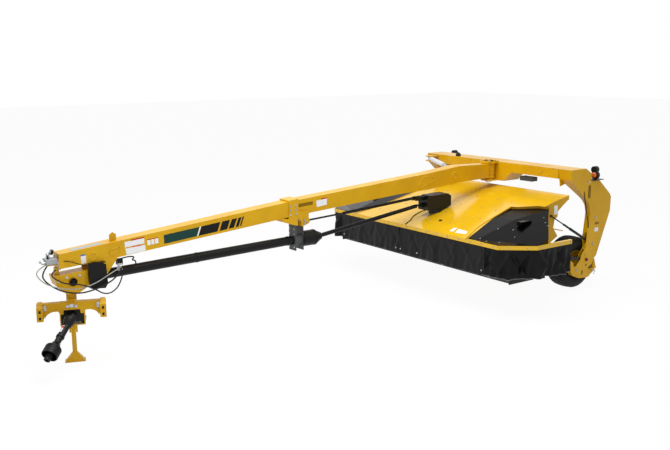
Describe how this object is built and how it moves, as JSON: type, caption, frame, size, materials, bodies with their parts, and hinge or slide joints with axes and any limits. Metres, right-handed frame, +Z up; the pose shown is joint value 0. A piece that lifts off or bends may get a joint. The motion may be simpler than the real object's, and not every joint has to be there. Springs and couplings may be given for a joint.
{
  "type": "mower conditioner",
  "caption": "Trailed disc mower conditioner: a centre-pivot tongue with a swivel hitch, and a wheeled portal that carries a curtained cutting header on links",
  "frame": {"origin": "middle of the machine's footprint, on the ground", "axes": "+Z up, +Y back from the hitch to the wheels, +X to the machine's left, the side of the near wheel in the picture"},
  "size_m": [4.348, 8.3643, 1.851],
  "materials": {
    "bare_steel": "brushed",
    "black_plastic": "matte",
    "black_steel": "satin",
    "curtain_cloth": "matte",
    "cylinder_silver": "gloss",
    "frame_yellow": "gloss",
    "lamp_lens": "gloss",
    "machine_grey": "satin",
    "tyre_rubber": "matte"
  },
  "bodies": {
    "portal": {"portal_beam": "frame_yellow", "king_pin": "frame_yellow", "portal_leg_left": "frame_yellow", "portal_leg_right": "frame_yellow", "lamps": "lamp_lens"},
    "tongue": {"tongue_rear": "frame_yellow", "tongue_front": "frame_yellow", "tongue_splice": "frame_yellow", "upper_gearbox": "frame_yellow", "drive_tube": "black_plastic", "middle_bearing": "black_plastic", "bearing_hanger": "machine_grey", "valve_block": "machine_grey", "manual_box": "black_plastic"},
    "swing_barrel": {"swing_barrel": "cylinder_silver"},
    "swing_rod": {"swing_rod": "bare_steel"},
    "hitch": {"hitch_frame": "frame_yellow", "lower_gearbox": "machine_grey"},
    "crossbar": {"hitch_crossbar": "frame_yellow"},
    "stand": {"stand_leg": "frame_yellow"},
    "pto": {"pto_shaft": "black_plastic"},
    "lower_links": {"lower_links": "black_steel"},
    "upper_links": {"upper_links": "black_steel"},
    "header": {"header_deck": "frame_yellow", "header_hood": "frame_yellow", "header_tube": "frame_yellow", "header_walls": "frame_yellow", "cutterbar": "machine_grey", "curtain_front": "curtain_cloth", "curtain_side_left": "curtain_cloth", "curtain_side_right": "curtain_cloth", "shield_left": "black_plastic", "shield_right": "black_plastic", "gearbox_foot": "black_steel"},
    "gearbox_head": {"gearbox_head": "black_steel"},
    "header_shaft": {"header_shaft": "black_plastic"},
    "guide_rod": {"guide_rod": "black_steel"},
    "conditioner_rotor": {"conditioner_rotor": "machine_grey"},
    "strut_barrel_left": {"strut_barrel_left": "black_steel"},
    "strut_rod_left": {"strut_rod_left": "bare_steel"},
    "wheel_left": {"tyre_left": "tyre_rubber", "wheel_rim_left": "frame_yellow"},
    "strut_barrel_right": {"strut_barrel_right": "black_steel"},
    "strut_rod_right": {"strut_rod_right": "bare_steel"},
    "wheel_right": {"tyre_right": "tyre_rubber", "wheel_rim_right": "frame_yellow"},
    "disc_1": {"disc_1": "bare_steel"},
    "disc_2": {"disc_2": "bare_steel"},
    "disc_3": {"disc_3": "bare_steel"},
    "disc_4": {"disc_4": "bare_steel"},
    "disc_5": {"disc_5": "bare_steel"},
    "disc_6": {"disc_6": "bare_steel"},
    "disc_7": {"disc_7": "bare_steel"},
    "disc_8": {"disc_8": "bare_steel"}
  },
  "joints": [
    {"name": "tongue_swing", "type": "hinge", "parent": "portal", "child": "tongue", "pos_m": [0, 3.098, 1.69], "axis": [0, 0, 1], "range_deg": [-25, 25]},
    {"name": "swing_barrel_turn", "type": "hinge", "parent": "portal", "child": "swing_barrel", "pos_m": [-1.32, 3.04, 1.772], "axis": [0, 0, 1], "range_deg": [-12, 12]},
    {"name": "swing_rod_slide", "type": "slide", "parent": "swing_barrel", "child": "swing_rod", "axis": [0.8885, -0.4588, -0.0122], "range_m": [-0.36, 0.36]},
    {"name": "hitch_swivel", "type": "hinge", "parent": "tongue", "child": "hitch", "pos_m": [0, -3.683, 0.75], "axis": [0, 0, 1], "range_deg": [-160, 20]},
    {"name": "crossbar_roll", "type": "hinge", "parent": "hitch", "child": "crossbar", "pos_m": [0.09397, -3.7172, 0.705], "axis": [0.9397, -0.342, 0], "range_deg": [-10, 10]},
    {"name": "stand_fold", "type": "hinge", "parent": "hitch", "child": "stand", "pos_m": [0.0141, -3.68813, 0.398], "axis": [0.342, 0.9397, 0], "range_deg": [0, 90]},
    {"name": "pto_raise", "type": "hinge", "parent": "hitch", "child": "pto", "pos_m": [0.15505, -3.73943, 0.58], "axis": [-0.7547, -0.6561, 0], "range_deg": [0, 30]},
    {"name": "header_lift", "type": "hinge", "parent": "portal", "child": "lower_links", "pos_m": [0, 3.414, 0.312], "axis": [1, 0, 0], "range_deg": [0, 25]},
    {"name": "header_level", "type": "hinge", "parent": "lower_links", "child": "header", "pos_m": [0, 2.504, 0.492], "axis": [1, 0, 0], "range_deg": [-26, 1]},
    {"name": "upper_link_turn", "type": "hinge", "parent": "portal", "child": "upper_links", "pos_m": [0, 3.626, 0.45], "axis": [1, 0, 0], "range_deg": [-1, 26]},
    {"name": "strut_barrel_left_turn", "type": "hinge", "parent": "portal", "child": "strut_barrel_left", "pos_m": [1.5155, 3.675, 0.731], "axis": [1, 0, 0], "range_deg": [-1, 30]},
    {"name": "strut_rod_left_slide", "type": "slide", "parent": "strut_barrel_left", "child": "strut_rod_left", "axis": [0, -0.8744, 0.4853], "range_m": [-0.28, 0.01]},
    {"name": "strut_barrel_right_turn", "type": "hinge", "parent": "portal", "child": "strut_barrel_right", "pos_m": [-1.5155, 3.675, 0.731], "axis": [1, 0, 0], "range_deg": [-1, 30]},
    {"name": "strut_rod_right_slide", "type": "slide", "parent": "strut_barrel_right", "child": "strut_rod_right", "axis": [0, -0.8744, 0.4853], "range_m": [-0.28, 0.01]},
    {"name": "gearbox_turn", "type": "hinge", "parent": "header", "child": "gearbox_head", "pos_m": [0, 1.97, 1.25], "axis": [0, 0, 1], "range_deg": [-40, 40]},
    {"name": "shaft_pitch", "type": "hinge", "parent": "gearbox_head", "child": "header_shaft", "pos_m": [0, 1.61, 1.28], "axis": [1, 0, 0], "range_deg": [-15, 1]},
    {"name": "guide_pitch", "type": "hinge", "parent": "gearbox_head", "child": "guide_rod", "pos_m": [0, 1.55, 1.403], "axis": [1, 0, 0], "range_deg": [-15, 1]},
    {"name": "disc_1_spin", "type": "hinge", "parent": "header", "child": "disc_1", "pos_m": [-1.5925, 1.75, 0.53], "axis": [0, 0, 1], "continuous": true},
    {"name": "disc_2_spin", "type": "hinge", "parent": "header", "child": "disc_2", "pos_m": [-1.1375, 1.75, 0.53], "axis": [0, 0, 1], "continuous": true},
    {"name": "disc_3_spin", "type": "hinge", "parent": "header", "child": "disc_3", "pos_m": [-0.6825, 1.75, 0.53], "axis": [0, 0, 1], "continuous": true},
    {"name": "disc_4_spin", "type": "hinge", "parent": "header", "child": "disc_4", "pos_m": [-0.2275, 1.75, 0.53], "axis": [0, 0, 1], "continuous": true},
    {"name": "disc_5_spin", "type": "hinge", "parent": "header", "child": "disc_5", "pos_m": [0.2275, 1.75, 0.53], "axis": [0, 0, 1], "continuous": true},
    {"name": "disc_6_spin", "type": "hinge", "parent": "header", "child": "disc_6", "pos_m": [0.6825, 1.75, 0.53], "axis": [0, 0, 1], "continuous": true},
    {"name": "disc_7_spin", "type": "hinge", "parent": "header", "child": "disc_7", "pos_m": [1.1375, 1.75, 0.53], "axis": [0, 0, 1], "continuous": true},
    {"name": "disc_8_spin", "type": "hinge", "parent": "header", "child": "disc_8", "pos_m": [1.5925, 1.75, 0.53], "axis": [0, 0, 1], "continuous": true},
    {"name": "rotor_spin", "type": "hinge", "parent": "header", "child": "conditioner_rotor", "pos_m": [0, 2.34, 0.77], "axis": [1, 0, 0], "continuous": true},
    {"name": "wheel_left_spin", "type": "hinge", "parent": "portal", "child": "wheel_left", "pos_m": [1.313, 3.532, 0.3935], "axis": [1, 0, 0], "continuous": true},
    {"name": "wheel_right_spin", "type": "hinge", "parent": "portal", "child": "wheel_right", "pos_m": [-1.313, 3.532, 0.3935], "axis": [1, 0, 0], "continuous": true}
  ],
  "couplings": [
    {"joint": "swing_barrel_turn", "follows": "tongue_swing", "ratio": 0.1105},
    {"joint": "swing_rod_slide", "follows": "tongue_swing", "m_per_rad": 0.64838},
    {"joint": "header_level", "follows": "header_lift", "ratio": -1},
    {"joint": "upper_link_turn", "follows": "header_lift", "ratio": 1},
    {"joint": "strut_barrel_left_turn", "follows": "header_lift", "ratio": 0.95948},
    {"joint": "strut_rod_left_slide", "follows": "header_lift", "m_per_rad": -0.29216},
    {"joint": "strut_barrel_right_turn", "follows": "header_lift", "ratio": 0.95948},
    {"joint": "strut_rod_right_slide", "follows": "header_lift", "m_per_rad": -0.29216},
    {"joint": "gearbox_turn", "follows": "tongue_swing", "ratio": 1.4606},
    {"joint": "shaft_pitch", "follows": "header_lift", "ratio": -0.5236},
    {"joint": "guide_pitch", "follows": "header_lift", "ratio": -0.48489},
    {"joint": "disc_2_spin", "follows": "disc_1_spin", "ratio": -1},
    {"joint": "disc_3_spin", "follows": "disc_1_spin", "ratio": 1},
    {"joint": "disc_4_spin", "follows": "disc_1_spin", "ratio": -1},
    {"joint": "disc_5_spin", "follows": "disc_1_spin", "ratio": 1},
    {"joint": "disc_6_spin", "follows": "disc_1_spin", "ratio": -1},
    {"joint": "disc_7_spin", "follows": "disc_1_spin", "ratio": 1},
    {"joint": "disc_8_spin", "follows": "disc_1_spin", "ratio": -1}
  ]
}
